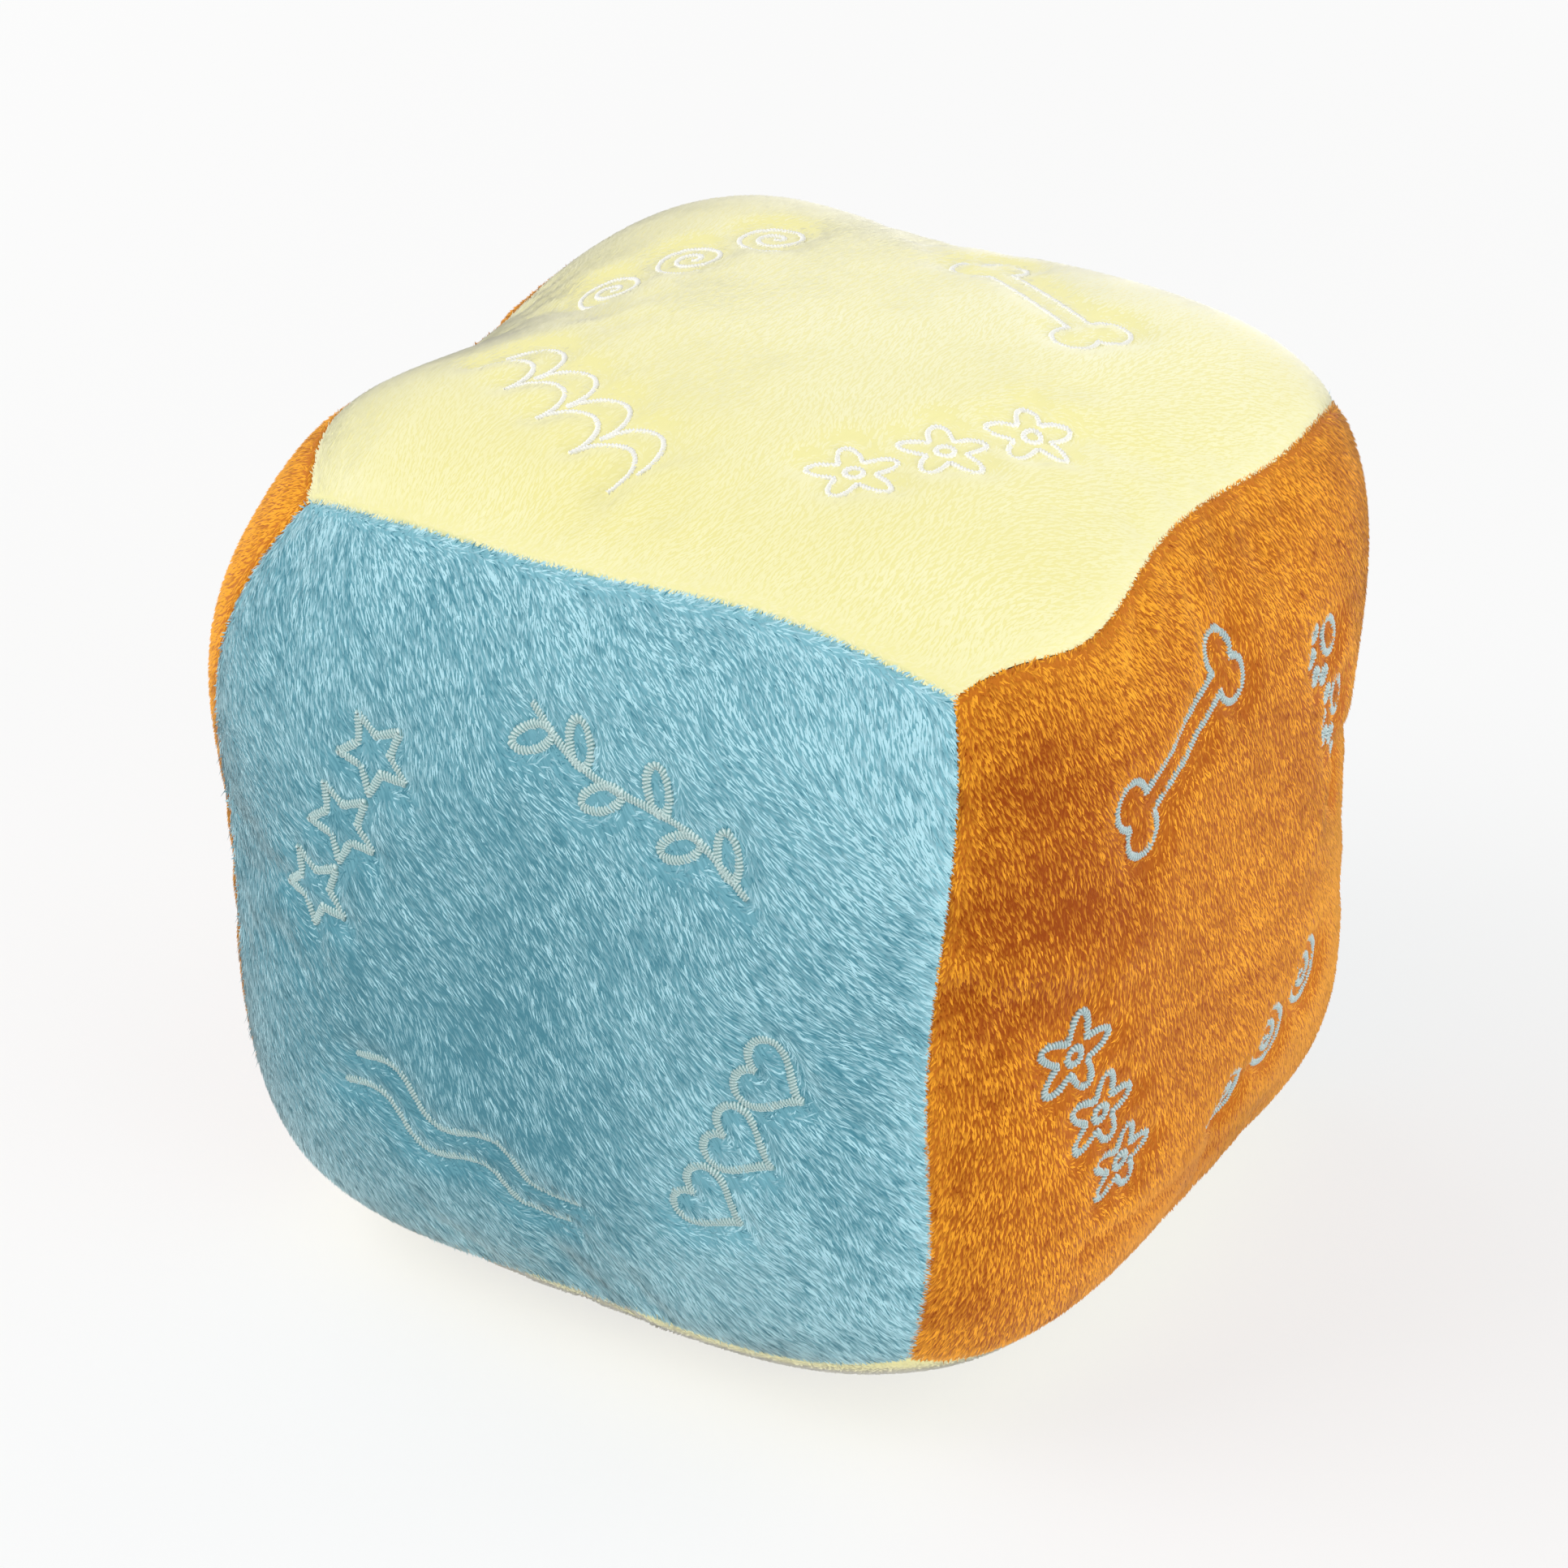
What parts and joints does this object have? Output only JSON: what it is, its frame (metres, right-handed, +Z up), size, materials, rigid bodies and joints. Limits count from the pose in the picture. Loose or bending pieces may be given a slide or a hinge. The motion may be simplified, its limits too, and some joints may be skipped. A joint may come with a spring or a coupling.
{
  "type": "stuffed plush cube",
  "caption": "Soft stuffed cube with crowned faces and rounded corners, sewn from square plush panels in lemon, teal and orange round a fibre filling; a toy to throw, roll and fetch.",
  "frame": {"origin": "middle of the resting face, on the surface that the cube stands on", "axes": "+Z up out of the top panel, -Y out of the front panel, +X out of the right panel"},
  "size_m": [0.1367, 0.136, 0.1348],
  "materials": {
    "lemon_plush": "short brushed pile",
    "teal_plush": "short brushed pile",
    "orange_plush": "short brushed pile",
    "polyester_fibre": "loose fibre",
    "sewing_thread": "spun polyester"
  },
  "bodies": {
    "root": {"panel_top": "lemon_plush", "panel_bottom": "lemon_plush", "panel_front": "teal_plush", "panel_back": "teal_plush", "panel_left": "orange_plush", "panel_right": "orange_plush", "fibre_filling": "polyester_fibre", "seam_thread_top_front": "sewing_thread", "seam_thread_top_back": "sewing_thread", "seam_thread_top_right": "sewing_thread", "seam_thread_top_left": "sewing_thread", "seam_thread_bottom_front": "sewing_thread", "seam_thread_bottom_back_left": "sewing_thread", "seam_thread_bottom_back_right": "sewing_thread", "seam_thread_bottom_right": "sewing_thread", "seam_thread_bottom_left": "sewing_thread", "seam_thread_front_right": "sewing_thread", "seam_thread_front_left": "sewing_thread", "seam_thread_back_right": "sewing_thread", "seam_thread_back_left": "sewing_thread", "closing_thread": "sewing_thread"}
  },
  "joints": []
}
